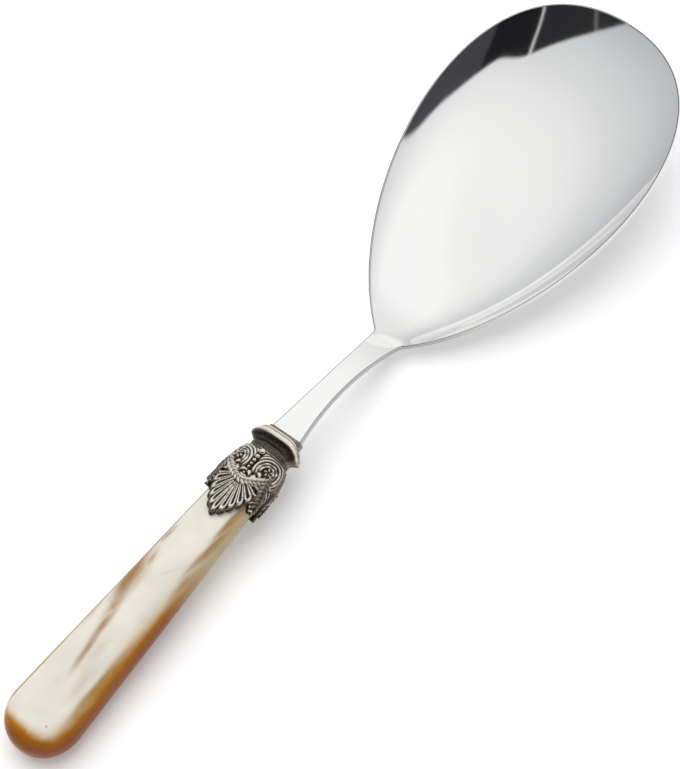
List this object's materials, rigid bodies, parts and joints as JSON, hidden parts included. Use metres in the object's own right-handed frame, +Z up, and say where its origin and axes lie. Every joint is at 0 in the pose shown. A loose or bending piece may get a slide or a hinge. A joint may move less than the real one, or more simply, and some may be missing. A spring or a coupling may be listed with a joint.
{
  "type": "rice serving spoon",
  "caption": "Serving spoon for rice: broad dished steel bowl on a cranked neck, cast ferrule with palmette and scroll relief, tapered pearl handle.",
  "frame": {"origin": "under the middle of the spoon's bounding box, on the surface that it lies on", "axes": "+X from the handle's end towards the bowl's tip, +Y across the spoon, +Z up out of the bowl"},
  "size_m": [0.2694, 0.0736, 0.0277],
  "materials": {
    "polished_steel": "mirror polished",
    "antiqued_pewter": "cast, antiqued and buffed",
    "pearl_acrylic": "gloss, pearl over amber",
    "epoxy_cement": "cured resin"
  },
  "bodies": {
    "root": {"spoon_blade": "polished_steel", "ferrule": "antiqued_pewter", "handle": "pearl_acrylic", "tang_cement": "epoxy_cement", "ferrule_cement": "epoxy_cement"}
  },
  "joints": []
}
